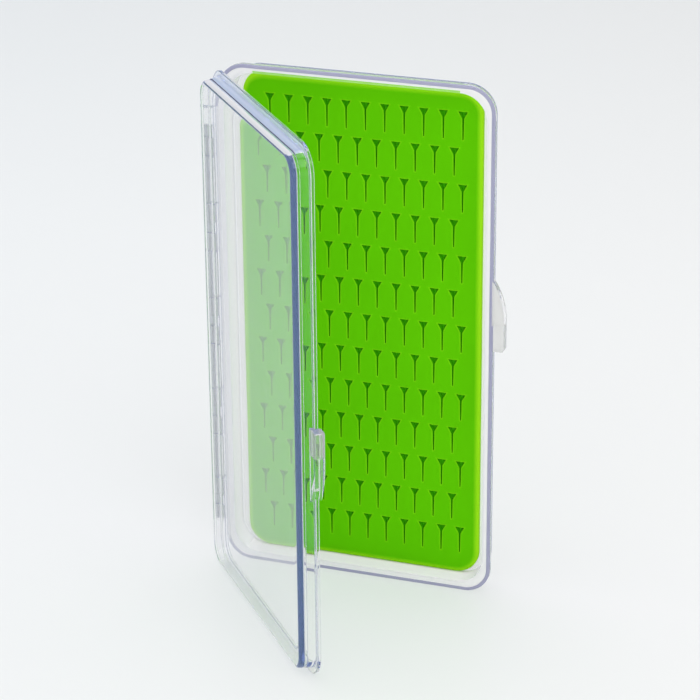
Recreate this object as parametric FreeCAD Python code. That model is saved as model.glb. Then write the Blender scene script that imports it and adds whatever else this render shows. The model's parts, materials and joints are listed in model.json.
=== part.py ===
"""Slim pocket fly box: two clear moulded shells on a pinned side hinge, and a slit silicone pad.

The box stands on one short end with its lid part open. +Z runs along the long side and the
hinge pin, +X from the hinge to the thumb tabs, and the base's open side faces -Y.
The origin is the middle of the base rim's lower edge, which the box stands on.
All sizes are in millimetres.
"""
import FreeCAD, Part
import math
import os

# Outline of both rims
length = 187.0
width = 98.0
corner_radius = 9.5

# Shells: a thin rim flange stands proud of a leaning wall, with a stepped band round the plate
base_depth = 10.8
lid_depth = 6.7
base_wall = 1.2
lid_wall = 1.6
plate = 2.0
rim_overhang = 1.9
base_wall_radius = 10.5
lid_wall_radius = 7.6
base_rim_thickness = 2.0
lid_rim_thickness = 1.2
rim_edge_chamfer = 0.4
base_lean = 0.2
lid_lean = 1.0
lid_inner_lean = 0.05
outer_edge_radius = 1.3
outer_edge_steps = 3
inner_edge_chamfer = 0.3
plate_band = 2.0
groove_width = 0.8
groove_depth = 0.4
rim_gap = 0.3

# The rims nest: an outer band on the base stands round a low ridge on the lid
nest_band = 1.3
nest_step = 0.5
nest_clearance = 0.25

# Hinge: knuckles alternate between base and lid, the base's hold the pin, and the axis lies
# on the lid's side of the plane where the rims meet
knuckle_count = 9
hinge_end_margin = 15.2
knuckle_gap = 0.3
pin_radius = 0.8
pin_seat_clearance = 0.02
pin_running_clearance = 0.06
barrel_radius = 1.75
hinge_clearance = 0.32
axis_rise = 0.85
pin_cover = 6.3
pin_recess = 1.2
pin_chamfer = 0.2
window_height = 4.0
window_side_wall = 0.5

# Thumb tabs: one on each rim, end to end at mid length
tab_reach = 4.1
tab_length = 26.8
tab_straight = 11.5
tab_gap = 0.4
tab_back = 2.7
tab_front = 0.7
tab_block = 9.3
tab_lip = 1.1
tab_web = 0.9
tab_curve_share = 0.76
tab_corner_radius = 0.8

# Slit pad, held to the base plate by an adhesive sheet
adhesive_thickness = 0.2
adhesive_inset = 1.5
pad_thickness = 2.2
pad_side_gap = 2.9
pad_end_gap = 0.15
pad_corner_radius = 8.5
pad_edge_radius = 1.0

# Slits: a funnel on top of a narrow, tapering cut, in rows that shift sideways in turn
slit_rows = 13
slit_columns = 11
slit_side_margin = 6.9
slit_end_margin = 8.0
row_shift = 3.0
slit_height = 9.8
slit_width = 0.6
slit_foot_width = 0.3
funnel_width = 3.2
funnel_height = 2.4
slit_floor = 0.6

# Lid angle in the standing pose, in degrees from closed
rest_opening = 50.0

# Extra length of cutting tools past the faces that they cut
overrun = 1.0

# Derived places
half_width = width / 2
rim_face = -base_rim_thickness / 2
mating_plane = rim_face - rim_gap / 2
axis_x = -half_width - barrel_radius - hinge_clearance
axis_y = mating_plane - axis_rise
knuckle_pitch = (length - 2 * hinge_end_margin) / knuckle_count
middle = length / 2

UP = FreeCAD.Vector(0, 0, 1)
BACK = FreeCAD.Vector(0, 1, 0)


class Form:
    """What the two shells differ in."""

    def __init__(self, depth, rim_thickness, wall, wall_radius, lean, inner_lean):
        self.depth = depth
        self.rim_thickness = rim_thickness
        self.wall = wall
        self.wall_radius = wall_radius
        self.lean = lean
        self.inner_lean = inner_lean
        self.mouth_inset = rim_overhang + wall
        self.floor_inset = self.mouth_inset + inner_lean


BASE = Form(base_depth, base_rim_thickness, base_wall, base_wall_radius, base_lean, base_lean)
LID = Form(lid_depth, lid_rim_thickness, lid_wall, lid_wall_radius, lid_lean, lid_inner_lean)


def vector(x, y, z):
    return FreeCAD.Vector(x, y, z)


def rounded_outline(full_width, full_length, radius, y):
    """A rounded rectangle in the plane at y, centred on x = 0 and on mid length."""
    x = full_width / 2
    z = full_length / 2
    edges = []
    corners = [(1, 1), (-1, 1), (-1, -1), (1, -1)]
    points = []
    for number, (side, end) in enumerate(corners):
        centre = vector(side * (x - radius), y, middle + end * (z - radius))
        start_angle = math.pi / 2 * number
        turn = [start_angle, start_angle + math.pi / 4, start_angle + math.pi / 2]
        arc = [centre + vector(radius * math.cos(a), 0, radius * math.sin(a)) for a in turn]
        points.append((arc[0], arc[2]))
        edges.append(Part.Arc(*arc).toShape())
        if number:
            edges.insert(-1, Part.makeLine(points[number - 1][1], arc[0]))
    edges.append(Part.makeLine(points[-1][1], points[0][0]))
    return Part.Wire(edges)


def rim_outline(inset, y):
    """The rim's outline, drawn in by an inset on every side."""
    return rounded_outline(width - 2 * inset, length - 2 * inset, corner_radius - inset, y)


def wall_outline(form, inset, y):
    """The outline of a shell's wall, drawn in from the rim by an inset."""
    radius = form.wall_radius + rim_overhang - inset
    return rounded_outline(width - 2 * inset, length - 2 * inset, radius, y)


def slab(outline, depth):
    """A plate from an outline, as deep as given towards +Y."""
    return Part.Face(outline).extrude(BACK * depth)


def body(form):
    """A shell's outside without its rim: sides that lean in, and an edge rounded off in steps."""
    far_inset = rim_overhang + form.lean
    rings = [wall_outline(form, rim_overhang, 0)]
    for step in range(outer_edge_steps + 1):
        angle = math.pi / 2 * step / outer_edge_steps
        inset = far_inset + outer_edge_radius * (1 - math.cos(angle))
        rings.append(wall_outline(form, inset, form.depth - outer_edge_radius * (1 - math.sin(angle))))
    return Part.makeLoft(rings, True, True).cut(edge_groove(form))


def cavity(form):
    """The space inside a shell, with a small chamfer round its floor."""
    depth = form.depth - plate
    near = wall_outline(form, form.mouth_inset, 0)
    far = wall_outline(form, form.floor_inset, depth)
    block = Part.makeLoft([near, far], True, True)
    return block.makeChamfer(inner_edge_chamfer, edges_at(block, depth, form.wall / 100))


def edges_at(shape, y, tolerance):
    """The edges that lie wholly in the plane at y."""
    return [e for e in shape.Edges if all(abs(v.Y - y) < tolerance for v in e.Vertexes)]


def tray(form):
    """One shell with its rim face at y = 0 and its plate at y = depth."""
    rim = slab(rim_outline(0, 0), form.rim_thickness)
    rim = rim.makeChamfer(rim_edge_chamfer, edges_at(rim, 0, form.wall / 100))
    return body(form).fuse(rim).cut(cavity(form)).cut(mouth(form, overrun))


def mouth(form, height):
    """The space in front of a cavity, reaching a hair into it."""
    return slab(wall_outline(form, form.mouth_inset, -height), height + form.wall / 100)


def nest_recess():
    """What the base rim is stepped back by, inside its outer band."""
    return slab(rim_outline(nest_band, -overrun), nest_step + overrun)


def nest_ridge():
    """The ridge that stands in front of the lid rim, inside the base's outer band."""
    ridge = slab(rim_outline(nest_band + nest_clearance, -nest_step), nest_step)
    return ridge.cut(mouth(LID, nest_step + overrun))


def edge_groove(form):
    """The ring that steps the wall in behind the band round the plate."""
    near = form.depth - plate_band - groove_width
    bottom = rim_overhang + form.lean * near / form.depth + groove_depth
    outside = slab(rim_outline(0, near), groove_width)
    inside = slab(wall_outline(form, bottom, near - overrun), groove_width + 2 * overrun)
    return outside.cut(inside)


def cylinder(radius, x, y, bottom, top):
    return Part.makeCylinder(radius, top - bottom, vector(x, y, bottom), UP)


def box(low, high):
    size = high - low
    return Part.makeBox(size.x, size.y, size.z, low)


def knuckle_ends(number):
    """Lower and upper end of a knuckle, counted from the top."""
    top = length - hinge_end_margin - number * knuckle_pitch
    return top - knuckle_pitch + knuckle_gap / 2, top - knuckle_gap / 2


def knuckle(number, rim_thickness, axis_depth):
    """A barrel with the web that joins it to the rim, in the tray's own place."""
    bottom, top = knuckle_ends(number)
    barrel = cylinder(barrel_radius, axis_x, axis_depth, bottom, top)
    web_depth = min(rim_thickness, axis_depth + barrel_radius)
    web = box(vector(axis_x, 0, bottom), vector(nest_band - half_width, web_depth, top))
    return barrel.fuse(web)


def knuckle_window(number):
    """The moulding window in the front of a base knuckle, open as far as the pin."""
    bottom, top = knuckle_ends(number)
    centre = (bottom + top) / 2
    half = barrel_radius - window_side_wall
    low = vector(axis_x - half, axis_y - barrel_radius - overrun, centre - window_height / 2)
    high = vector(axis_x + half, axis_y, centre + window_height / 2)
    return box(low, high)


def tab_outline(root_x, tip_x, start, straight_end, end, y):
    """A tab seen from the front: square at its start, curved into the rim at its end."""
    reach = tip_x - root_x
    middle_of_curve = vector(root_x + reach * tab_curve_share, y, (straight_end + end) / 2)
    corners = [vector(root_x, y, end), vector(root_x, y, start), vector(tip_x, y, start)]
    corners.append(vector(tip_x, y, straight_end))
    edges = [Part.makeLine(a, b) for a, b in zip(corners, corners[1:])]
    edges.append(Part.Arc(corners[-1], middle_of_curve, corners[0]).toShape())
    return Part.Wire(edges)


def tab():
    """The upper thumb tab, in the tray's own place, with a finger pocket behind its web."""
    start = middle + tab_gap / 2
    tip = half_width + tab_reach
    straight_end = middle + tab_straight
    end = middle + tab_length
    behind = slab(tab_outline(half_width - nest_band, tip, start, straight_end, end, 0), tab_back)
    clear_root = half_width + hinge_clearance
    clear_end = straight_end + (end - straight_end) * (tip - clear_root) / tab_reach
    front = slab(tab_outline(clear_root, tip, start, straight_end, clear_end, -tab_front), tab_front)
    solid = behind.fuse(front)
    corner = [e for e in solid.Edges if is_tab_corner(e, tip, start)]
    solid = solid.makeFillet(tab_corner_radius, corner)
    pocket_tip = tip - tab_lip
    pocket_end = end - (end - straight_end) * tab_lip / tab_reach - tab_lip
    pocket_floor = tab_web - tab_front
    pocket = tab_outline(half_width, pocket_tip, middle + tab_block, straight_end, pocket_end, pocket_floor)
    return solid.cut(slab(pocket, tab_back - pocket_floor + overrun))


def is_tab_corner(edge, x, z):
    """Whether an edge is the tab's free corner, which runs straight back at x and z."""
    tolerance = tab_lip / 100
    return all(abs(v.X - x) < tolerance and abs(v.Z - z) < tolerance for v in edge.Vertexes)


def mirrored_lengthwise(shape):
    """The shape turned over about mid length."""
    return shape.mirror(vector(0, 0, middle), UP)


def pin_hole(clearance):
    """The bore for the pin, open at the bottom and blind near the top."""
    bottom = hinge_end_margin - overrun
    return cylinder(pin_radius + clearance, axis_x, axis_y, bottom, pin_top() + pin_chamfer)


def pin_top():
    return length - hinge_end_margin - pin_cover


def base_shell():
    """The deeper shell, with the upper tab and the outer knuckles."""
    shape = tray(BASE).cut(nest_recess())
    shape = shape.fuse(tab())
    axis_depth = axis_y - rim_face
    for number in range(0, knuckle_count, 2):
        shape = shape.fuse(knuckle(number, base_rim_thickness, axis_depth))
    shape.translate(vector(0, rim_face, 0))
    for number in range(0, knuckle_count, 2):
        shape = shape.cut(knuckle_window(number))
    return shape.cut(pin_hole(pin_seat_clearance)).removeSplitter()


def lid_shell():
    """The shallower shell, with the lower tab and the inner knuckles, at its open angle."""
    shape = tray(LID).fuse(nest_ridge())
    shape = shape.fuse(mirrored_lengthwise(tab()))
    axis_depth = axis_rise - rim_gap / 2
    for number in range(1, knuckle_count, 2):
        shape = shape.fuse(knuckle(number, lid_rim_thickness, axis_depth))
    shape.translate(vector(0, rim_gap / 2, 0))
    shape = shape.mirror(vector(0, 0, 0), BACK)
    shape.translate(vector(0, mating_plane, 0))
    shape = shape.cut(pin_hole(pin_running_clearance)).removeSplitter()
    shape.rotate(vector(axis_x, axis_y, 0), UP, -rest_opening)
    return shape


def hinge_pin():
    """The steel pin, held in the base's knuckles."""
    bottom = hinge_end_margin + pin_recess
    pin = cylinder(pin_radius, axis_x, axis_y, bottom, pin_top())
    return pin.makeChamfer(pin_chamfer, [e for e in pin.Edges if len(e.Vertexes) == 1])


def pad_size():
    pad_width = width - 2 * (BASE.floor_inset + pad_side_gap)
    pad_length = length - 2 * (BASE.floor_inset + pad_end_gap)
    return pad_width, pad_length


def adhesive_front():
    return rim_face + base_depth - plate - adhesive_thickness


def pad_adhesive():
    """The thin double-sided sheet between the pad and the base plate."""
    pad_width, pad_length = pad_size()
    sheet_width = pad_width - 2 * adhesive_inset
    sheet_length = pad_length - 2 * adhesive_inset
    radius = pad_corner_radius - adhesive_inset
    outline = rounded_outline(sheet_width, sheet_length, radius, adhesive_front())
    return slab(outline, adhesive_thickness)


def slit_outline(x, z, y):
    """One slit seen from the front, with the middle of its funnel's top at x and z."""
    right = [
        (funnel_width / 2, 0),
        (slit_width / 2, funnel_height),
        (slit_foot_width / 2, slit_height),
    ]
    left = [(-across, down) for across, down in reversed(right)]
    points = [vector(x + across, y, z - down) for across, down in right + left]
    return Part.makePolygon(points + points[:1])


def slit_places():
    """The top middle of every slit, row by row from the top."""
    pad_width, pad_length = pad_size()
    pitch = (pad_width - 2 * slit_side_margin - row_shift) / (slit_columns - 1)
    row_pitch = (pad_length - 2 * slit_end_margin - slit_height) / (slit_rows - 1)
    right = pad_width / 2 - slit_side_margin
    top = middle + pad_length / 2 - slit_end_margin
    places = []
    for row in range(slit_rows):
        shift = row_shift * (row % 2)
        for column in range(slit_columns):
            places.append((right - shift - column * pitch, top - row * row_pitch))
    return places


def slit_pad():
    """The silicone pad, with its blind slits cut from the front."""
    pad_width, pad_length = pad_size()
    front = adhesive_front() - pad_thickness
    pad = slab(rounded_outline(pad_width, pad_length, pad_corner_radius, front), pad_thickness)
    pad = pad.makeFillet(pad_edge_radius, edges_at(pad, front, pad_edge_radius / 100))
    depth = pad_thickness - slit_floor + overrun
    slits = [slab(slit_outline(x, z, front - overrun), depth) for x, z in slit_places()]
    return pad.cut(Part.makeCompound(slits))


def solid_of(shape):
    """The one solid that a boolean result holds."""
    return shape.Solids[0] if len(shape.Solids) == 1 else shape


os.makedirs("parts", exist_ok=True)
for node, shape in {
    "base_shell": base_shell(),
    "lid_shell": lid_shell(),
    "hinge_pin": hinge_pin(),
    "slit_pad": slit_pad(),
    "pad_adhesive": pad_adhesive(),
}.items():
    piece = solid_of(shape)
    print(node, "solids", len(piece.Solids), "volume", round(piece.Volume, 2), "valid", piece.isValid())
    piece.exportStep("parts/" + node + ".step")
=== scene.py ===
"""Looks for the slim pocket fly box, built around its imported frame.

All lengths are in metres, in the frame's own axes: +Z along the hinge pin, +X from the hinge to
the thumb tabs, and -Y out of the base's open side. Each shell is first built as a tray with its
rim face at y = 0 and its plate at positive y, then put in place.
"""
import json
import math

import bmesh
import bpy
from mathutils import Matrix, Vector

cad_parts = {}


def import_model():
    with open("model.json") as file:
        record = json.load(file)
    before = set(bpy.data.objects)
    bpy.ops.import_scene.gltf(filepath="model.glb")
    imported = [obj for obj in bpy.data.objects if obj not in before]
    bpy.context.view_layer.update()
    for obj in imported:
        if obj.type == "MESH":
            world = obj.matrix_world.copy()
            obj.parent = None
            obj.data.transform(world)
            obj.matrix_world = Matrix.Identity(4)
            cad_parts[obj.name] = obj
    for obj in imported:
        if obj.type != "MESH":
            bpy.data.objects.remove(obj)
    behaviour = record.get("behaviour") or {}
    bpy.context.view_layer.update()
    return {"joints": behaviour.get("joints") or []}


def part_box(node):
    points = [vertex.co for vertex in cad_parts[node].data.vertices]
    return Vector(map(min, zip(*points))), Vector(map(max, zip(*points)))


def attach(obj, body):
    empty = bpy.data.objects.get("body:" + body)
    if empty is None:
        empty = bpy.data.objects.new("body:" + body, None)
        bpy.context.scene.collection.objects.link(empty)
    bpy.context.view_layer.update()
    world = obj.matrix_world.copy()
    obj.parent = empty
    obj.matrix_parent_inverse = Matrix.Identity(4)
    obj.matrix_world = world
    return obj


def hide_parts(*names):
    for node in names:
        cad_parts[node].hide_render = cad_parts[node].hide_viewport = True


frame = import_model()

# What the frame gives. The hinge counts about -Z from the standing pose, and its lower limit
# shuts the lid, so the same angle about +Z opens a shut lid to the standing pose.
hinge = frame["joints"][0]
AXIS = Vector(hinge["pos_m"])
OPENING_TURN = math.radians(hinge["range_deg"][0])
BASE_LOW, BASE_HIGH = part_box("base_shell")
PIN_LOW, PIN_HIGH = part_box("hinge_pin")
PAD_LOW, PAD_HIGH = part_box("slit_pad")
SHEET_LOW, SHEET_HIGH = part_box("pad_adhesive")
LENGTH = BASE_HIGH.z
MIDDLE = LENGTH / 2
PIN_RADIUS = (PIN_HIGH.x - PIN_LOW.x) / 2
BARREL_RADIUS = AXIS.x - BASE_LOW.x

# Rims and walls
TAB_REACH = 0.0041
HALF_WIDTH = BASE_HIGH.x - TAB_REACH
CORNER_RADIUS = 0.0095
BASE_WALL_RADIUS = 0.0105
LID_WALL_RADIUS = 0.0076
LID_DEPTH = 0.0067
BASE_WALL = 0.0012
LID_WALL = 0.0016
PLATE = 0.002
RIM_OVERHANG = 0.0019
BASE_RIM_THICKNESS = 0.002
LID_RIM_THICKNESS = 0.0012
BASE_LEAN = 0.0002
LID_LEAN = 0.001
LID_INNER_LEAN = 0.00005
PLATE_BAND = 0.002
GROOVE_WIDTH = 0.0008
GROOVE_DEPTH = 0.0004
RIM_GAP = 0.0003
NEST_BAND = 0.0013
NEST_STEP = 0.0005
NEST_CLEARANCE = 0.00025
LEDGE_SPLIT = 0.0022
AXIS_RISE = 0.00085
MATING_PLANE = AXIS.y + AXIS_RISE
RIM_FACE = MATING_PLANE + RIM_GAP / 2
BASE_DEPTH = BASE_HIGH.y - RIM_FACE

# Rounding of the moulded edges
OUTER_ROUND = 0.0013
RIM_ROUND = 0.0004
FLANGE_ROUND = 0.0003
ROOT_ROUND = 0.0003
STEP_ROUND = 0.00012
LIP_ROUND = 0.00015
FLOOR_ROUND = 0.0003
PLATE_MARGIN = 0.0065
RING_TOLERANCE = 0.000012
ROUND_STEPS = 5
CORNER_STEPS = 20
BEVEL_SEGMENTS = 3
SHARP_ANGLE = math.radians(32)

# Hinge
KNUCKLES = 9
HINGE_END_MARGIN = 0.0152
KNUCKLE_GAP = 0.0003
KNUCKLE_ROUND = 0.0002
WEB_INSET = 0.00002
WINDOW_HEIGHT = 0.004
WINDOW_SIDE_WALL = 0.0005
BORE_CLEARANCE = {"base": 0.00002, "lid": 0.00006}
PIN_ROUND = 0.0002
BARREL_STEPS = 40
OVERRUN = 0.001

# Thumb tabs
TAB_LENGTH = 0.0268
TAB_STRAIGHT = 0.0115
TAB_GAP = 0.0004
TAB_BACK = 0.0027
TAB_FRONT = 0.0007
TAB_BLOCK = 0.0093
TAB_LIP = 0.0011
TAB_WEB = 0.0009
TAB_CLEARANCE = 0.0003
TAB_CURVE_SHARE = 0.76
TAB_CORNER_ROUND = 0.0008
TAB_EDGE_ROUND = 0.0002
TAB_STEPS = 12

# Pad and its slits
PAD_CORNER_RADIUS = 0.0085
PAD_EDGE_ROUND = 0.001
# The painted highlight round the pad's rim: how far in it fades, and how much further along the top
PAD_GLOW_REACH = 0.0021
PAD_HIDDEN_TOP = 0.0022
SHEET_CORNER_RADIUS = 0.007
SHEET_RELIEF = 0.00002
SLIT_ROWS = 13
SLIT_COLUMNS = 11
SLIT_SIDE_MARGIN = 0.0069
SLIT_END_MARGIN = 0.008
ROW_SHIFT = 0.003
SLIT_HEIGHT = 0.0098
SLIT_WIDTH = 0.0006
SLIT_FOOT_WIDTH = 0.0003
FUNNEL_WIDTH = 0.0032
FUNNEL_HEIGHT = 0.0024
SLIT_DEPTH = 0.0016
SLIT_LIP = 0.00018
SLIT_LIP_STEPS = 3
# Reach and strength of the painted highlight round each slit's lip
SLIT_GLOW_REACH = 0.0004
SLIT_GLOW = 0.22
SLIT_TAPER_SHARE = 0.6
SLIT_FLOOR_SHARE = 0.5

# Light and shade painted on faces of the clear plastic, standing in for its reflections, refracted bands,
# dark edge lines and light carried through it: colour, and how much of what lies behind they hide
# Painted reflection on the base's front band, paler along the hinge
LAND_PAINTED_LIGHT = (0.33, 0.333, 0.475, 0.92)
PALE_LAND_PAINTED_LIGHT = (0.70, 0.70, 0.72, 0.75)
# Painted pale light on the base's ledge
LEDGE_PAINTED_LIGHT = (0.88, 0.88, 0.87, 0.8)
# Painted pale light on the base's inner walls and the floor round the pad, where light through the clear
# walls would fall
FOOT_PAINTED_LIGHT = (1.0, 0.89, 1.0, 0.9)
SIDE_PAINTED_LIGHT = (1.0, 0.93, 1.0, 0.5)
FLOOR_PAINTED_LIGHT = (1.0, 0.97, 0.95, 0.5)
# Painted bands on the lid's short walls: pale along the plate, dark lines in the groove, blue on the wall
PLATE_PAINTED_LIGHT = (0.74, 0.73, 0.74, 0.75)
WALL_PAINTED_LIGHT = (0.70, 0.78, 0.97, 0.35)
LINE_PAINTED_SHADE = (0.10, 0.10, 0.17, 0.85)
# Painted green light from the pad, carried along the top of the base's ledge
PIPED_PAINTED_LIGHT = (0.36, 0.80, 0.10, 0.8)
# Painted light and shade on the base's tab and the lid's tab block
TAB_PAINTED_LIGHT = (0.70, 0.70, 0.67, 0.5)
BLOCK_PAINTED_LIGHT = (0.50, 0.48, 0.50, 0.4)
# Painted pale light on the lid's lower short wall
LOW_WALL_PAINTED_LIGHT = (0.96, 0.97, 0.90, 0.6)
NO_PAINTED_LIGHT = (0, 0, 0, 0)
MARKED_ALPHA = 0.1

# How far a marked face's normal leans towards an axis, at least or at most
SLIGHT_LEAN = 0.3
END_LEAN = 0.4
SIDE_LEAN = 0.5
FOOT_LEAN = 0.7
FLOOR_LEAN = 0.9

# Clear plastic. A noise goes from the first to the second of each pair of tints or shares
CLEAR_TINTS = (0.982, 0.98, 0.972), (0.997, 0.995, 0.987)
CLEAR_ROUGHNESS = 0.0, 0.03
MIRROR_TINT = (0.5, 0.5, 0.5, 1)
HAZE_TINTS = (0.20, 0.29, 0.66), (0.22, 0.32, 0.70)
HAZE_COVER = 0.008, 0.012
# Painted blue that stands in for light caught in a plate
CAUGHT_TINTS = (0.186, 0.255, 0.53), (0.206, 0.275, 0.55)
CAUGHT_BOUNCES = 2.5
FILM_TINT = (0.86, 0.865, 0.885, 1)
DEPTH_TINT = (0.70, 0.70, 0.92, 1)
DEPTH_DENSITY = 16.0
FLOW_SCALE = 38.0
FLOW_STRETCH = (1, 1, 0.35)
FLOW_RELIEF = 0.00003
FLOW_STRENGTH = 0.5
POLISH_SCALE = 900.0

# Silicone, with pairs as above
SILICONE_TINTS = (0.102, 0.532, 0.0005), (0.111, 0.557, 0.0005)
# Painted highlight on the pad's rim and the lips of its slits
GLOW_TINTS = (0.36, 0.84, 0.012), (0.40, 0.88, 0.015)
# Painted shade inside the slits, darker than the pad's face
PAINTED_SLIT_SHADE = (0.06, 0.49, 0.001, 1)
SILICONE_ROUGHNESS = 0.42, 0.56
CLOUD_SCALE = 24.0
GRAIN_SCALE = 2600.0
GRAIN_RELIEF = 0.00001
GRAIN_STRENGTH = 0.4

# Steel wire, with pairs as above
STEEL_TINTS = (0.34, 0.37, 0.42), (0.47, 0.50, 0.55)
STEEL_ROUGHNESS = 0.22, 0.36
LINE_SCALE = 3000.0
LINE_STRETCH = (1, 1, 0.03)
LINE_RELIEF = 0.00001
LINE_STRENGTH = 0.5

# Adhesive sheet, with pairs as above
ADHESIVE_TINTS = (0.42, 0.62, 0.30), (0.50, 0.68, 0.38)
ADHESIVE_ROUGHNESS = 0.45, 0.7
PATCH_SCALE = 90.0

# Floor and the wall that it curves up into. Its tints go from left to right and are painted shade, darker
# and cooler on the left; its glow dims towards the wall, also painted shade
FLOOR_REACH = 8.0
WALL_PLACE = 2.2
WALL_HEIGHT = 3.0
WALL_BEND = 1.0
BEND_STEPS = 16
FLOOR_TINTS = (0.80, 0.82, 0.83), (0.83, 0.83, 0.82)
FLOOR_GLOW_TINTS = (0.79, 0.83, 0.865), (0.90, 0.885, 0.875)
FLOOR_GLOW_SHARE = 0.45
FLOOR_ROUGHNESS = 0.3, 0.38
FLOOR_SCALE = 1.2
TINT_REACH = 0.6
FAR_START = 0.3
FAR_END = 0.9
FAR_SHARE = 0.84

# Lamps, with their power in watts, and the light all round
KEY_PLACE = (0.8, -0.9, 1.6)
KEY_SIZE = (1.2, 1.2)
KEY_POWER = 12
FILL_PLACE = (0.3, -1.3, 0.25)
FILL_SIZE = (1.0, 0.4)
FILL_POWER = 1.7
TOP_PLACE = (-0.5, 0.2, 1.8)
TOP_SIZE = (1.4, 1.4)
TOP_POWER = 10
LAMP_TARGET = Vector((0, 0, 0.09))
FILL_TARGET = Vector((0, 0, 0.05))
WORLD_COLOUR = (0.985, 0.99, 1.0, 1)
WORLD_STRENGTH = 0.8

# Camera, as the photograph's perspective gives it
CAMERA_PLACE = Vector((0.28159, -0.80724, 0.4505))
CAMERA_TARGET = Vector((-0.00278, 0.0, 0.08676))
CAMERA_ROLL = math.radians(-0.52)
SENSOR = 36.0
LENS = 137.5
CLIP_END = 20


class Form:
    """What the two trays differ in."""

    def __init__(self, depth, rim_thickness, wall, wall_radius, lean, inner_lean):
        self.depth = depth
        self.rim_thickness = rim_thickness
        self.wall = wall
        self.wall_radius = wall_radius
        self.lean = lean
        self.inner_lean = inner_lean


BASE = Form(BASE_DEPTH, BASE_RIM_THICKNESS, BASE_WALL, BASE_WALL_RADIUS, BASE_LEAN, BASE_LEAN)
LID = Form(LID_DEPTH, LID_RIM_THICKNESS, LID_WALL, LID_WALL_RADIUS, LID_LEAN, LID_INNER_LEAN)


def rounded_path(corners):
    """Points of a line whose corners, each (a, b, radius), are rounded off."""
    last = len(corners) - 1
    path = []
    for number, (a, b, radius) in enumerate(corners):
        corner = Vector((a, b))
        if number in (0, last) or not radius:
            path.append(corner)
            continue
        before = Vector(corners[number - 1][:2]) - corner
        after = Vector(corners[number + 1][:2]) - corner
        path += corner_arc(corner, before, after, radius)
    return path


def corner_arc(corner, before, after, radius):
    """The arc that rounds a corner between two directions."""
    half = before.angle(after) / 2
    reach = radius / math.tan(half)
    middle = (before.normalized() + after.normalized()).normalized()
    centre = corner + middle * (radius / math.sin(half))
    start = corner + before.normalized() * reach - centre
    end = corner + after.normalized() * reach - centre
    turn = start.angle_signed(end)
    points = []
    for step in range(ROUND_STEPS + 1):
        spin = Matrix.Rotation(-turn * step / ROUND_STEPS, 2)
        points.append(centre + spin @ start)
    return points


def rounded_ring(half_width, half_length, radius, y):
    """Points of a rounded rectangle at y, centred on x = 0 and on mid length."""
    corners = [(1, 1), (-1, 1), (-1, -1), (1, -1)]
    points = []
    for number, (side, end) in enumerate(corners):
        centre = Vector((side * (half_width - radius), y, MIDDLE + end * (half_length - radius)))
        for step in range(CORNER_STEPS + 1):
            angle = math.pi / 2 * (number + step / CORNER_STEPS)
            points.append(centre + Vector((math.cos(angle), 0, math.sin(angle))) * radius)
    return points


def tray_ring(form, inset, y):
    """One ring of a tray, drawn in by an inset. A wall's corners differ from the rim's."""
    radius = CORNER_RADIUS - inset
    if inset > RIM_OVERHANG or y > form.rim_thickness + RING_TOLERANCE:
        radius = form.wall_radius + RIM_OVERHANG - inset
    return rounded_ring(HALF_WIDTH - inset, MIDDLE - inset, radius, y)


def tube(bm, rings):
    """Joins rings of points into a tube of quads and returns their vertices."""
    made = [[bm.verts.new(point) for point in ring] for ring in rings]
    for first, second in zip(made, made[1:]):
        for number in range(len(first)):
            after = (number + 1) % len(first)
            bm.faces.new((first[number], first[after], second[after], second[number]))
    return made


def capped(rings):
    """A closed mesh from rings of points, with a flat face on the first and last."""
    bm = bmesh.new()
    made = tube(bm, rings)
    bm.faces.new(reversed(made[0]))
    bm.faces.new(made[-1])
    return bm


def add_object(name, bm):
    """A new object in the scene from a bmesh."""
    mesh = bpy.data.meshes.new(name)
    bm.to_mesh(mesh)
    bm.free()
    obj = bpy.data.objects.new(name, mesh)
    bpy.context.scene.collection.objects.link(obj)
    return obj


def piece(name, bm):
    """A new object from a bmesh, with its faces turned outwards."""
    bmesh.ops.recalc_face_normals(bm, faces=bm.faces)
    return add_object(name, bm)


def apply_modifiers(obj):
    """Replaces an object's mesh by what its modifiers make of it."""
    depsgraph = bpy.context.evaluated_depsgraph_get()
    made = bpy.data.meshes.new_from_object(obj.evaluated_get(depsgraph))
    obj.modifiers.clear()
    obj.data = made


def combine(obj, tool, operation):
    """Joins a tool to an object, or cuts it out, and removes the tool.

    What a tool brings to a marked shell stays clear.
    """
    if "painted_light" in obj.data.attributes:
        mark_painted_light(tool, lambda face: NO_PAINTED_LIGHT)
    step = obj.modifiers.new("combine", "BOOLEAN")
    step.operation = operation
    step.solver = "EXACT"
    step.object = tool
    apply_modifiers(obj)
    bpy.data.objects.remove(tool)


def bevel(obj, width):
    """Rounds an object's sharp edges."""
    step = obj.modifiers.new("bevel", "BEVEL")
    step.width = width
    step.segments = BEVEL_SEGMENTS
    step.limit_method = "ANGLE"
    step.angle_limit = SHARP_ANGLE
    apply_modifiers(obj)


def split(obj, point, normal):
    """Divides the faces that cross a plane, so that each side can be marked."""
    bm = bmesh.new()
    bm.from_mesh(obj.data)
    bmesh.ops.bisect_plane(bm, geom=[*bm.verts, *bm.edges, *bm.faces], plane_co=point, plane_no=normal)
    bm.to_mesh(obj.data)
    bm.free()


def smooth(obj):
    """Smooth shading on curved faces that leaves the flat ones flat."""
    obj.data.validate()
    obj.data.shade_smooth()
    obj.data.set_sharp_from_angle(angle=SHARP_ANGLE)
    step = obj.modifiers.new("weights", "WEIGHTED_NORMAL")
    step.keep_sharp = True
    apply_modifiers(obj)


def box(name, low, high):
    """A plain block, for joining to a shell or cutting from it."""
    bm = bmesh.new()
    place = Matrix.Translation((low + high) / 2)
    size = Matrix.Diagonal((*(high - low), 1))
    bmesh.ops.create_cube(bm, size=1, matrix=place @ size)
    return piece(name, bm)


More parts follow.
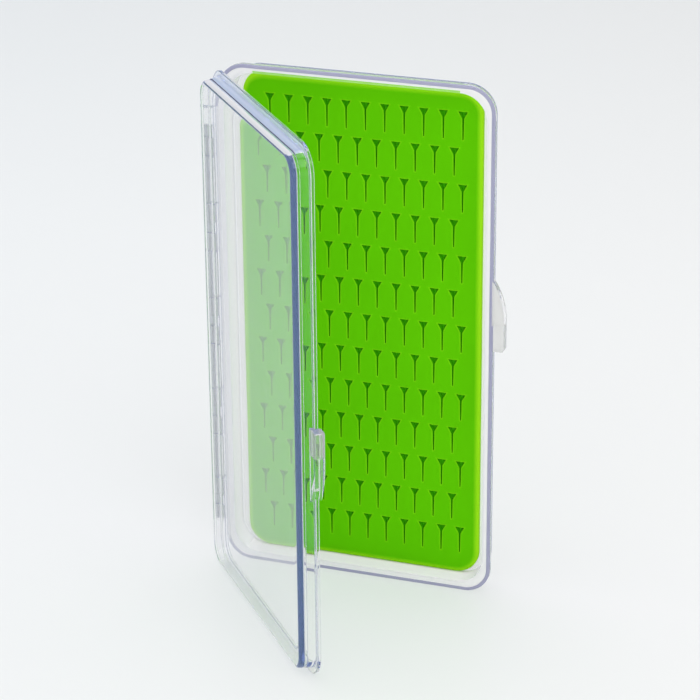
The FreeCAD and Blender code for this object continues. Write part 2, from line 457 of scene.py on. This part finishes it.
def rod(name, radius, y, bottom, top, edge=0.0):
    """A cylinder along the hinge, with rounded ends where edge isn't zero."""
    profile = rounded_path([(0, bottom, 0), (radius, bottom, edge), (radius, top, edge), (0, top, 0)])
    turns = [math.tau * step / BARREL_STEPS for step in range(BARREL_STEPS)]
    rings = []
    for reach, z in profile[1:-1]:
        rings.append([Vector((AXIS.x + reach * math.cos(t), y + reach * math.sin(t), z)) for t in turns])
    return piece(name, capped(rings))


def tray_profile(form, nest):
    """The tray's section from the middle of its outer face, round the rim, to the middle of its floor."""
    top = form.depth - PLATE_BAND
    bottom = top - GROOVE_WIDTH
    slope = form.lean / form.depth
    grooved = RIM_OVERHANG + slope * bottom + GROOVE_DEPTH
    return rounded_path([
        (PLATE_MARGIN, form.depth, 0),
        (RIM_OVERHANG + form.lean, form.depth, OUTER_ROUND),
        (RIM_OVERHANG + slope * top, top, STEP_ROUND),
        (grooved, top, STEP_ROUND),
        (grooved, bottom, STEP_ROUND),
        (RIM_OVERHANG + slope * bottom, bottom, STEP_ROUND),
        (RIM_OVERHANG, form.rim_thickness, ROOT_ROUND),
        (0, form.rim_thickness, FLANGE_ROUND),
        (0, 0, RIM_ROUND),
        *nest,
        (RIM_OVERHANG + form.wall + form.inner_lean, form.depth - PLATE, FLOOR_ROUND),
        (PLATE_MARGIN, form.depth - PLATE, 0),
    ])


def tray(name, form, nest):
    """A tray as a closed mesh, from the rings of its section."""
    return piece(name, capped([tray_ring(form, inset, y) for inset, y in tray_profile(form, nest)]))


def rim_inset(point, radius=CORNER_RADIUS):
    """How far inside the rim's sides and corners a point lies, seen from the front."""
    x = abs(point.x) - HALF_WIDTH + radius
    z = abs(point.z - MIDDLE) - MIDDLE + radius
    return radius - math.hypot(max(x, 0), max(z, 0)) - min(max(x, z), 0)


def mark_painted_light(made, painted_light_of):
    """Gives each face its painted light or shade, as a test of the face tells it."""
    marks = made.data.attributes.new("painted_light", "FLOAT_COLOR", "FACE")
    for face in made.data.polygons:
        marks.data[face.index].color = painted_light_of(face)


def base_painted_light(face):
    """Painted light and shade on a band round the front of the base, the ledge inside it, the tab and
    some inner faces.

    The band is a painted reflection, paler along the hinge, and the ledge carries the pad's green
    along its upper edge as painted light. The inner faces are the floor round the pad, the wall at
    the hinge and the lower wall, painted pale where light through the clear walls would fall.
    """
    if face.center.x > HALF_WIDTH + TAB_CLEARANCE and abs(face.normal.x) < SLIGHT_LEAN:
        return TAB_PAINTED_LIGHT
    in_front = face.normal.y < -SLIGHT_LEAN and face.center.y < NEST_STEP + RIM_ROUND
    from_rim = rim_inset(face.center)
    if in_front and 0 < from_rim < NEST_BAND:
        at_hinge = face.center.x < NEST_BAND - HALF_WIDTH and face.center.z < LENGTH - HINGE_END_MARGIN
        return PALE_LAND_PAINTED_LIGHT if at_hinge else LAND_PAINTED_LIGHT
    inset = rim_inset(face.center, RIM_OVERHANG + BASE_WALL_RADIUS)
    inside = from_rim > NEST_BAND and inset < RIM_OVERHANG + BASE.wall + BASE.lean
    if in_front and inside:
        at_top = face.center.z > LENGTH - PLATE_MARGIN and abs(face.center.x) < PLATE_MARGIN
        return PIPED_PAINTED_LIGHT if at_top and inset > LEDGE_SPLIT else LEDGE_PAINTED_LIGHT
    inner_floor = BASE.depth - PLATE
    around_pad = NEST_BAND < from_rim < PLATE_MARGIN
    on_floor = inner_floor < face.center.y + STEP_ROUND < BASE.depth
    if around_pad and on_floor and face.normal.y < -FLOOR_LEAN:
        return FLOOR_PAINTED_LIGHT
    if inside and 0 < face.center.y < inner_floor:
        if face.normal.x > SIDE_LEAN:
            return SIDE_PAINTED_LIGHT
        if face.normal.z > FOOT_LEAN:
            return FOOT_PAINTED_LIGHT
    return NO_PAINTED_LIGHT


def lid_painted_light(face):
    """Painted light and shade on the tab's block and the lid's two short walls: the upper one palest along
    the plate, with painted dark lines in its groove and a painted blue on its wall.
    """
    from_middle = face.center.z - MIDDLE
    if face.center.x > HALF_WIDTH and abs(from_middle) < TAB_BLOCK:
        return BLOCK_PAINTED_LIGHT
    at_end = abs(from_middle) >= MIDDLE - PLATE_MARGIN / 2 and abs(face.normal.x) < END_LEAN
    if not at_end or rim_inset(face.center) < RIM_OVERHANG / 2:
        return NO_PAINTED_LIGHT
    if from_middle < 0:
        return LOW_WALL_PAINTED_LIGHT
    plate_foot = LID.depth - PLATE_BAND
    in_groove = plate_foot - GROOVE_WIDTH - STEP_ROUND < face.center.y < plate_foot + STEP_ROUND
    if in_groove and abs(face.normal.y) > SLIGHT_LEAN:
        return LINE_PAINTED_SHADE
    return PLATE_PAINTED_LIGHT if face.center.y > plate_foot else WALL_PAINTED_LIGHT


def arc_through(start, middle, end):
    """Points of the arc through three points of a plane."""
    a, b, c = (Vector(point) for point in (start, middle, end))
    ab, ac = b - a, c - a
    twice = 2 * (ab.x * ac.y - ab.y * ac.x)
    x = (ac.y * ab.length_squared - ab.y * ac.length_squared) / twice
    y = (ab.x * ac.length_squared - ac.x * ab.length_squared) / twice
    centre = a + Vector((x, y))
    spoke = a - centre
    turn = spoke.angle_signed(c - centre)
    spins = [Matrix.Rotation(-turn * step / TAB_STEPS, 2) for step in range(TAB_STEPS + 1)]
    return [centre + spin @ spoke for spin in spins]


def tab_prism(name, root, tip, start, straight_end, end, front, back, corner=0.0):
    """A tab's outline, square at its start and curved into the rim at its end, given thickness."""
    square = rounded_path([(root, end, 0), (root, start, 0), (tip, start, corner), (tip, straight_end, 0)])
    knee = (root + (tip - root) * TAB_CURVE_SHARE, (straight_end + end) / 2)
    outline = square[:-1] + arc_through((tip, straight_end), knee, (root, end))[:-1]
    return piece(name, capped([[Vector((x, y, z)) for x, z in outline] for y in (front, back)]))


def tab(name, direction):
    """A thumb tab in its tray's place, above mid length for direction 1 and below it for -1."""
    start = TAB_GAP / 2
    tip = HALF_WIDTH + TAB_REACH
    clear_root = HALF_WIDTH + TAB_CLEARANCE
    clear_end = TAB_STRAIGHT + (TAB_LENGTH - TAB_STRAIGHT) * (tip - clear_root) / TAB_REACH
    made = tab_prism(
        name, HALF_WIDTH - NEST_BAND, tip, start, TAB_STRAIGHT, TAB_LENGTH,
        0, TAB_BACK, TAB_CORNER_ROUND,
    )
    front = tab_prism(
        "front", clear_root, tip, start, TAB_STRAIGHT, clear_end,
        -TAB_FRONT, LIP_ROUND, TAB_CORNER_ROUND,
    )
    combine(made, front, "UNION")
    pocket_end = TAB_LENGTH - (TAB_LENGTH - TAB_STRAIGHT) * TAB_LIP / TAB_REACH - TAB_LIP
    pocket = tab_prism(
        "pocket", HALF_WIDTH, tip - TAB_LIP, TAB_BLOCK, TAB_STRAIGHT, pocket_end,
        TAB_WEB - TAB_FRONT, TAB_BACK + OVERRUN,
    )
    combine(made, pocket, "DIFFERENCE")
    bevel(made, TAB_EDGE_ROUND)
    split(made, Vector((0, 0, TAB_BLOCK)), Vector((0, 0, 1)))
    made.data.transform(Matrix.Translation((0, 0, MIDDLE)) @ Matrix.Diagonal((1, 1, direction, 1)))
    if direction < 0:
        made.data.flip_normals()
    return made


def knuckle_ends(number):
    """Lower and upper end of a knuckle, counted from the top."""
    pitch = (LENGTH - 2 * HINGE_END_MARGIN) / KNUCKLES
    top = LENGTH - HINGE_END_MARGIN - number * pitch
    return top - pitch + KNUCKLE_GAP / 2, top - KNUCKLE_GAP / 2


def knuckle(number, rim_thickness, axis_depth):
    """A barrel and its web to the rim, in the tray's place."""
    bottom, top = knuckle_ends(number)
    barrel = rod("barrel", BARREL_RADIUS, axis_depth, bottom, top, KNUCKLE_ROUND)
    web_depth = min(rim_thickness, axis_depth + BARREL_RADIUS) - WEB_INSET
    low = Vector((AXIS.x, 0, bottom + KNUCKLE_ROUND / 2))
    high = Vector((NEST_BAND - HALF_WIDTH, web_depth, top - KNUCKLE_ROUND / 2))
    web = box("web", low, high)
    combine(barrel, web, "UNION")
    return barrel


def bore(made, clearance):
    """Cuts the pin's hole through a shell's knuckles."""
    hole = rod("bore", PIN_RADIUS + clearance, AXIS.y, HINGE_END_MARGIN - OVERRUN, PIN_HIGH.z + PIN_ROUND)
    combine(made, hole, "DIFFERENCE")


def window(made, number):
    """Cuts the moulding window in the front of a base knuckle."""
    bottom, top = knuckle_ends(number)
    centre = (bottom + top) / 2
    half = BARREL_RADIUS - WINDOW_SIDE_WALL
    low = Vector((AXIS.x - half, AXIS.y - BARREL_RADIUS - OVERRUN, centre - WINDOW_HEIGHT / 2))
    high = Vector((AXIS.x + half, AXIS.y, centre + WINDOW_HEIGHT / 2))
    combine(made, box("window", low, high), "DIFFERENCE")


def base_shell():
    """The deeper shell, with its rim face towards -Y."""
    inner = RIM_OVERHANG + BASE.wall
    ledge = [(LEDGE_SPLIT, NEST_STEP, 0), (inner, NEST_STEP, LIP_ROUND)]
    nest = [(NEST_BAND, 0, STEP_ROUND), (NEST_BAND, NEST_STEP, STEP_ROUND), *ledge]
    made = tray("base_tray", BASE, nest)
    combine(made, tab("base_tab", 1), "UNION")
    for number in range(0, KNUCKLES, 2):
        combine(made, knuckle(number, BASE.rim_thickness, AXIS.y - RIM_FACE), "UNION")
    mark_painted_light(made, base_painted_light)
    made.data.transform(Matrix.Translation((0, RIM_FACE, 0)))
    for number in range(0, KNUCKLES, 2):
        window(made, number)
    bore(made, BORE_CLEARANCE["base"])
    smooth(made)
    return made


def lid_shell():
    """The shallower shell, turned over on to the base and swung open."""
    inner = RIM_OVERHANG + LID.wall
    ridge = NEST_BAND + NEST_CLEARANCE
    nest = [(ridge, 0, STEP_ROUND), (ridge, -NEST_STEP, STEP_ROUND), (inner, -NEST_STEP, LIP_ROUND)]
    made = tray("lid_tray", LID, nest)
    combine(made, tab("lid_tab", -1), "UNION")
    for number in range(1, KNUCKLES, 2):
        combine(made, knuckle(number, LID.rim_thickness, AXIS_RISE - RIM_GAP / 2), "UNION")
    mark_painted_light(made, lid_painted_light)
    turned_over = Matrix.Translation((0, MATING_PLANE - RIM_GAP / 2, 0)) @ Matrix.Diagonal((1, -1, 1, 1))
    made.data.transform(turned_over)
    made.data.flip_normals()
    bore(made, BORE_CLEARANCE["lid"])
    opened = Matrix.Translation(AXIS) @ Matrix.Rotation(OPENING_TURN, 4, "Z") @ Matrix.Translation(-AXIS)
    made.data.transform(opened)
    smooth(made)
    return made


def hinge_pin():
    """The steel pin, with rounded ends."""
    made = rod("pin_rod", PIN_RADIUS, AXIS.y, PIN_LOW.z, PIN_HIGH.z, PIN_ROUND)
    smooth(made)
    return made


def slit_outline(margin):
    """The slit's outline about its top middle, grown by a margin on every side."""
    side = (FUNNEL_WIDTH - SLIT_WIDTH) / 2
    slant = math.hypot(side, FUNNEL_HEIGHT)
    grow_top = margin * (slant + side) / FUNNEL_HEIGHT
    half = SLIT_WIDTH / 2 + margin
    return [
        (FUNNEL_WIDTH / 2 + grow_top, margin),
        (half, -FUNNEL_HEIGHT - margin * (slant - FUNNEL_HEIGHT) / side),
        (SLIT_FOOT_WIDTH / 2 + margin, -SLIT_HEIGHT),
        (SLIT_FOOT_WIDTH / 4 + margin / 2, -SLIT_HEIGHT - margin),
        (-SLIT_FOOT_WIDTH / 4 - margin / 2, -SLIT_HEIGHT - margin),
        (-SLIT_FOOT_WIDTH / 2 - margin, -SLIT_HEIGHT),
        (-half, -FUNNEL_HEIGHT - margin * (slant - FUNNEL_HEIGHT) / side),
        (-FUNNEL_WIDTH / 2 - grow_top, margin),
    ]


def slit_places():
    """The top middle of every slit, row by row from the top."""
    pitch = (2 * PAD_HIGH.x - 2 * SLIT_SIDE_MARGIN - ROW_SHIFT) / (SLIT_COLUMNS - 1)
    row_pitch = (PAD_HIGH.z - PAD_LOW.z - 2 * SLIT_END_MARGIN - SLIT_HEIGHT) / (SLIT_ROWS - 1)
    for row in range(SLIT_ROWS):
        right = PAD_HIGH.x - SLIT_SIDE_MARGIN - ROW_SHIFT * (row % 2)
        for column in range(SLIT_COLUMNS):
            yield right - column * pitch, PAD_HIGH.z - SLIT_END_MARGIN - row * row_pitch


def slit(bm, x, z):
    """One slit's rounded lip, walls and bottom. Returns the outer edges, on the pad's face."""
    front = PAD_LOW.y
    rings = [(SLIT_LIP + SLIT_GLOW_REACH, front)]
    for step in range(SLIT_LIP_STEPS + 1):
        angle = math.pi / 2 * step / SLIT_LIP_STEPS
        rings.append((SLIT_LIP * (1 - math.sin(angle)), front + SLIT_LIP * (1 - math.cos(angle))))
    rings.append((0, front + SLIT_DEPTH * SLIT_TAPER_SHARE))
    points = [[Vector((x + a, y, z + b)) for a, b in slit_outline(margin)] for margin, y in rings]
    floor = front + SLIT_DEPTH
    points.append([Vector((x + a * SLIT_FLOOR_SHARE, floor, z + b)) for a, b in slit_outline(0)])
    made = tube(bm, points)
    bm.faces.new(made[-1])
    # The slit's lip carries a painted highlight
    for ring in made[1:SLIT_LIP_STEPS + 1]:
        mark(bm, "edge", ring, SLIT_GLOW)
    # The slit's walls and floor carry painted shade
    for ring in made[SLIT_LIP_STEPS + 1:]:
        mark(bm, "deep", ring, 1)
    return ring_edges(bm, made[0])


def ring_edges(bm, ring):
    """The edges that join a ring of vertices."""
    return [bm.edges.get(pair) for pair in zip(ring, ring[1:] + ring[:1])]


def top_share(point, half_length):
    """How far round the pad's upper corners a point lies: 0 on the sides and 1 on the top."""
    share = (point.z - MIDDLE - half_length + PAD_CORNER_RADIUS) / PAD_CORNER_RADIUS
    return max(share, 0) ** 2


def mark(bm, name, vertices, value):
    """Writes a value for the material on some vertices."""
    layer = bm.verts.layers.float[name]
    for vertex in vertices:
        vertex[layer] = value


def slit_pad():
    """The silicone pad: a rounded slab whose front face is pierced by every slit.

    Its rim is marked for a painted highlight, fading inwards, and further in along the top, where
    the base hides the rim itself.
    """
    half_width, half_length = PAD_HIGH.x, (PAD_HIGH.z - PAD_LOW.z) / 2
    profile = rounded_path([
        (PLATE_MARGIN, PAD_HIGH.y, 0),
        (0, PAD_HIGH.y, LIP_ROUND),
        (0, PAD_LOW.y, PAD_EDGE_ROUND),
        (PAD_GLOW_REACH, PAD_LOW.y, 0),
    ])
    bm = bmesh.new()
    bm.verts.layers.float.new("edge")
    bm.verts.layers.float.new("deep")
    rings = []
    for inset, y in profile:
        rings.append(rounded_ring(half_width - inset, half_length - inset, PAD_CORNER_RADIUS - inset, y))
    hidden = Vector((0, 0, PAD_HIDDEN_TOP))
    rings[-1] = [point - hidden * top_share(point, half_length) for point in rings[-1]]
    made = tube(bm, rings)
    bm.faces.new(reversed(made[0]))
    for ring, (inset, y) in zip(made, profile):
        mark(bm, "edge", ring, 1 - inset / PAD_GLOW_REACH)
    for vertex in made[-2]:
        glow = vertex[bm.verts.layers.float["edge"]]
        mark(bm, "edge", [vertex], glow + (1 - glow) * top_share(vertex.co, half_length))
    edges = ring_edges(bm, made[-1])
    for x, z in slit_places():
        edges += slit(bm, x, z)
    bmesh.ops.triangle_fill(bm, use_beauty=True, edges=edges)
    made = piece("silicone_pad", bm)
    smooth(made)
    return made


def adhesive_sheet():
    """The sheet behind the pad, a hair short of the floor so that the two faces don't coincide."""
    half_width, half_length = SHEET_HIGH.x, (SHEET_HIGH.z - SHEET_LOW.z) / 2
    places = (SHEET_LOW.y, SHEET_HIGH.y - SHEET_RELIEF)
    rings = [rounded_ring(half_width, half_length, SHEET_CORNER_RADIUS, y) for y in places]
    return piece("adhesive_sheet", capped(rings))


class Nodes:
    """A material's node tree, with a short way to add and join nodes."""

    def __init__(self, name):
        self.material = bpy.data.materials.new(name)
        self.material.use_nodes = True
        self.tree = self.material.node_tree
        self.tree.nodes.clear()
        self.output = self.add("ShaderNodeOutputMaterial")

    def add(self, kind, **values):
        """A node with named inputs set to values, or joined where the value is a socket."""
        node = self.tree.nodes.new(kind)
        for name, value in values.items():
            self.set(node, name.replace("_", " "), value)
        return node

    def set(self, node, name, value):
        self.feed(node.inputs[name], value)

    def feed(self, socket, value):
        """Joins a socket to another, or gives it a plain value."""
        if isinstance(value, bpy.types.NodeSocket):
            self.tree.links.new(value, socket)
        else:
            socket.default_value = value

    def join(self, source, node, name):
        self.tree.links.new(source, node.inputs[name])

    def noise(self, scale, detail=3.0, stretch=(1, 1, 1)):
        """Noise in the object's own coordinates."""
        place = self.add("ShaderNodeTexCoord").outputs["Object"]
        mapping = self.add("ShaderNodeMapping", Vector=place, Scale=stretch)
        node = self.add("ShaderNodeTexNoise", Vector=mapping.outputs[0], Scale=scale, Detail=detail)
        return node.outputs["Fac"]

    def ramp(self, factor, low, high, first=0.3, last=0.7):
        """A colour that goes from low to high as a factor rises."""
        node = self.add("ShaderNodeValToRGB", Fac=factor)
        for element, place, colour in zip(node.color_ramp.elements, (first, last), (low, high)):
            element.position = place
            element.color = (*colour, 1)
        return node.outputs["Color"]

    def blend(self, factor, first, second):
        """One colour where a factor is 0 and another where it is 1."""
        node = self.tree.nodes.new("ShaderNodeMix")
        node.data_type = "RGBA"
        for name, value in (("Factor", factor), ("A", first), ("B", second)):
            self.set(node, name, value)
        return node.outputs["Result"]

    def attribute(self, name):
        """A node that reads a value stored on the mesh."""
        node = self.add("ShaderNodeAttribute")
        node.attribute_name = name
        return node

    def math(self, operation, first, second):
        """A sum or test of two values."""
        node = self.tree.nodes.new("ShaderNodeMath")
        node.operation = operation
        self.feed(node.inputs[0], first)
        self.feed(node.inputs[1], second)
        return node.outputs[0]

    def layer(self, factor, below, above):
        """One shader where a factor is 0 and another where it is 1."""
        node = self.add("ShaderNodeMixShader", Fac=factor)
        self.tree.links.new(below, node.inputs[1])
        self.tree.links.new(above, node.inputs[2])
        return node.outputs[0]

    def range(self, factor, low, high):
        """A value that goes from low to high as a factor rises."""
        node = self.add("ShaderNodeMapRange", Value=factor, To_Min=low, To_Max=high)
        return node.outputs["Result"]

    def bump(self, height, distance, strength):
        """A normal that follows a height."""
        node = self.add("ShaderNodeBump", Height=height, Distance=distance, Strength=strength)
        return node.outputs["Normal"]


def clear_plastic():
    """Polished clear styrene that bends light, mirrors at a slant and lets lamps through.

    A trace of haze keeps it from looking empty, marked faces carry painted light and shade in place
    of their reflections and refracted bands, and where light stays caught in a plate, a painted blue
    stands in for it.
    """
    nodes = Nodes("clear_plastic")
    flow = nodes.noise(FLOW_SCALE, detail=2.0, stretch=FLOW_STRETCH)
    glass = nodes.add(
        "ShaderNodeBsdfPrincipled",
        Base_Color=nodes.ramp(flow, *CLEAR_TINTS),
        Roughness=nodes.range(nodes.noise(POLISH_SCALE), *CLEAR_ROUGHNESS),
        IOR=1.58,
        Specular_Tint=MIRROR_TINT,
        Transmission_Weight=1.0,
        Normal=nodes.bump(flow, FLOW_RELIEF, FLOW_STRENGTH),
    )
    # Marked faces show painted light and shade; elsewhere a trace of blue haze
    painted_light = nodes.attribute("painted_light")
    haze = nodes.ramp(flow, *HAZE_TINTS)
    cover = nodes.math("MAXIMUM", painted_light.outputs["Alpha"], nodes.range(flow, *HAZE_COVER))
    marked = nodes.math("GREATER_THAN", painted_light.outputs["Alpha"], MARKED_ALPHA)
    haze_and_painted_light = nodes.add("ShaderNodeBsdfDiffuse", Color=nodes.blend(marked, haze, painted_light.outputs["Color"]))
    glass_with_painted_light = nodes.layer(cover, glass.outputs[0], haze_and_painted_light.outputs[0])
    path = nodes.add("ShaderNodeLightPath").outputs
    # From a path's third glossy bounce on, a painted blue, lit as a matt face, stands in for light caught
    # in a plate
    caught = nodes.math("GREATER_THAN", path["Glossy Depth"], CAUGHT_BOUNCES)
    tint = nodes.add("ShaderNodeBsdfDiffuse", Color=nodes.ramp(flow, *CAUGHT_TINTS))
    tinted = nodes.layer(caught, glass_with_painted_light, tint.outputs[0])
    film = nodes.add("ShaderNodeBsdfTransparent", Color=FILM_TINT)
    lamps = nodes.math("MAXIMUM", path["Is Shadow Ray"], path["Is Diffuse Ray"])
    nodes.join(nodes.layer(lamps, tinted, film.outputs[0]), nodes.output, "Surface")
    depth = nodes.add("ShaderNodeVolumeAbsorption", Color=DEPTH_TINT, Density=DEPTH_DENSITY)
    nodes.join(depth.outputs[0], nodes.output, "Volume")
    return nodes.material


def silicone():
    """Soft bright green silicone with a half-matt surface, a painted highlight round its rim and slit
    lips, and painted shade inside the slits.
    """
    nodes = Nodes("green_silicone")
    cloud = nodes.noise(CLOUD_SCALE, detail=2.0)
    grain = nodes.noise(GRAIN_SCALE, detail=2.0)
    edge = nodes.attribute("edge").outputs["Fac"]
    deep = nodes.attribute("deep").outputs["Fac"]
    middle = nodes.ramp(cloud, *SILICONE_TINTS)
    # Painted highlight colour for the pad's rim and slit lips
    glow = nodes.ramp(cloud, *GLOW_TINTS)
    body = nodes.add(
        "ShaderNodeBsdfPrincipled",
        Base_Color=nodes.blend(deep, nodes.blend(edge, middle, glow), PAINTED_SLIT_SHADE),
        Roughness=nodes.range(grain, *SILICONE_ROUGHNESS),
        IOR=1.41,
        Specular_IOR_Level=0.03,
        Normal=nodes.bump(grain, GRAIN_RELIEF, GRAIN_STRENGTH),
    )
    nodes.join(body.outputs[0], nodes.output, "Surface")
    return nodes.material


def steel():
    """Drawn wire, with fine lines along it."""
    nodes = Nodes("pin_steel")
    lines = nodes.noise(LINE_SCALE, stretch=LINE_STRETCH)
    body = nodes.add(
        "ShaderNodeBsdfPrincipled",
        Base_Color=nodes.ramp(lines, *STEEL_TINTS),
        Metallic=1.0,
        Roughness=nodes.range(lines, *STEEL_ROUGHNESS),
        Normal=nodes.bump(lines, LINE_RELIEF, LINE_STRENGTH),
    )
    nodes.join(body.outputs[0], nodes.output, "Surface")
    return nodes.material


def adhesive():
    """Milky double-sided sheet with faint trapped air."""
    nodes = Nodes("milky_adhesive")
    patches = nodes.noise(PATCH_SCALE, detail=4.0)
    body = nodes.add(
        "ShaderNodeBsdfPrincipled",
        Base_Color=nodes.ramp(patches, *ADHESIVE_TINTS),
        Roughness=nodes.range(patches, *ADHESIVE_ROUGHNESS),
    )
    nodes.join(body.outputs[0], nodes.output, "Surface")
    return nodes.material


def ground_material():
    """Plain pale floor with a faint sheen and painted shade, darker and cooler on the left and dimmer
    towards the wall. It partly glows where it is seen.
    """
    nodes = Nodes("pale_floor")
    place = nodes.add("ShaderNodeTexCoord").outputs["Object"]
    sides = nodes.add("ShaderNodeSeparateXYZ", Vector=place).outputs
    # Painted shade: tints run darker and cooler towards the left
    reach = nodes.add("ShaderNodeMapRange", Value=sides["X"], From_Min=-TINT_REACH, From_Max=TINT_REACH)
    across = reach.outputs["Result"]
    # Painted shade: the glow dims towards the wall
    far = nodes.add(
        "ShaderNodeMapRange",
        Value=sides["Y"],
        From_Min=FAR_START,
        From_Max=FAR_END,
        To_Min=1,
        To_Max=FAR_SHARE,
    )
    body = nodes.add(
        "ShaderNodeBsdfPrincipled",
        Base_Color=nodes.ramp(across, *FLOOR_TINTS, first=0.0, last=1.0),
        Roughness=nodes.range(nodes.noise(FLOOR_SCALE, detail=1.0), *FLOOR_ROUGHNESS),
    )
    own = nodes.ramp(across, *FLOOR_GLOW_TINTS, first=0.0, last=1.0)
    glow = nodes.add("ShaderNodeEmission", Color=own, Strength=far.outputs["Result"])
    path = nodes.add("ShaderNodeLightPath").outputs
    seen = nodes.math("MAXIMUM", path["Is Camera Ray"], path["Is Glossy Ray"])
    seen = nodes.math("MAXIMUM", seen, path["Is Transmission Ray"])
    mixed = nodes.layer(nodes.math("MULTIPLY", seen, FLOOR_GLOW_SHARE), body.outputs[0], glow.outputs[0])
    nodes.join(mixed, nodes.output, "Surface")
    return nodes.material


def dress(obj, material, body, node):
    """Gives a new piece its material, its body and the node that it stands for."""
    obj.data.materials.clear()
    obj.data.materials.append(material)
    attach(obj, body)
    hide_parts(node)


def backdrop():
    """A floor that curves up into a wall behind the box."""
    path = [(-FLOOR_REACH, 0)]
    for step in range(BEND_STEPS + 1):
        angle = math.pi / 2 * step / BEND_STEPS
        place = WALL_PLACE - WALL_BEND + WALL_BEND * math.sin(angle)
        path.append((place, WALL_BEND - WALL_BEND * math.cos(angle)))
    path.append((WALL_PLACE, WALL_HEIGHT))
    bm = bmesh.new()
    rows = [[bm.verts.new((x, y, z)) for y, z in path] for x in (-FLOOR_REACH, FLOOR_REACH)]
    for number in range(len(path) - 1):
        bm.faces.new((rows[0][number], rows[1][number], rows[1][number + 1], rows[0][number + 1]))
    obj = add_object("studio_floor", bm)
    obj.data.shade_smooth()
    obj.data.materials.append(ground_material())


def area_lamp(name, place, size, power, target):
    """A soft rectangular lamp that faces a target."""
    data = bpy.data.lights.new(name, "AREA")
    data.shape = "RECTANGLE"
    data.size, data.size_y = size
    data.energy = power
    lamp = bpy.data.objects.new(name, data)
    lamp.location = place
    lamp.rotation_euler = (target - Vector(place)).to_track_quat("-Z", "Y").to_euler()
    bpy.context.scene.collection.objects.link(lamp)


def world():
    """Even soft light all round."""
    made = bpy.data.worlds.new("studio")
    made.use_nodes = True
    shade = made.node_tree.nodes["Background"]
    shade.inputs["Color"].default_value = WORLD_COLOUR
    shade.inputs["Strength"].default_value = WORLD_STRENGTH
    bpy.context.scene.world = made


def camera():
    """The camera, from the photograph's viewing angle."""
    data = bpy.data.cameras.new("camera")
    data.sensor_width = SENSOR
    data.lens = LENS
    data.clip_end = CLIP_END
    obj = bpy.data.objects.new("camera", data)
    look = (CAMERA_TARGET - CAMERA_PLACE).to_track_quat("-Z", "Y").to_matrix().to_4x4()
    obj.matrix_world = Matrix.Translation(CAMERA_PLACE) @ look @ Matrix.Rotation(CAMERA_ROLL, 4, "Z")
    bpy.context.scene.collection.objects.link(obj)
    bpy.context.scene.camera = obj


camera()
backdrop()
world()
area_lamp("key", KEY_PLACE, KEY_SIZE, KEY_POWER, LAMP_TARGET)
area_lamp("fill", FILL_PLACE, FILL_SIZE, FILL_POWER, FILL_TARGET)
area_lamp("top", TOP_PLACE, TOP_SIZE, TOP_POWER, LAMP_TARGET)
bpy.context.scene.view_settings.view_transform = "Standard"

clear = clear_plastic()
dress(base_shell(), clear, "base", "base_shell")
dress(lid_shell(), clear, "lid", "lid_shell")
dress(hinge_pin(), steel(), "base", "hinge_pin")
dress(slit_pad(), silicone(), "base", "slit_pad")
dress(adhesive_sheet(), adhesive(), "base", "pad_adhesive")
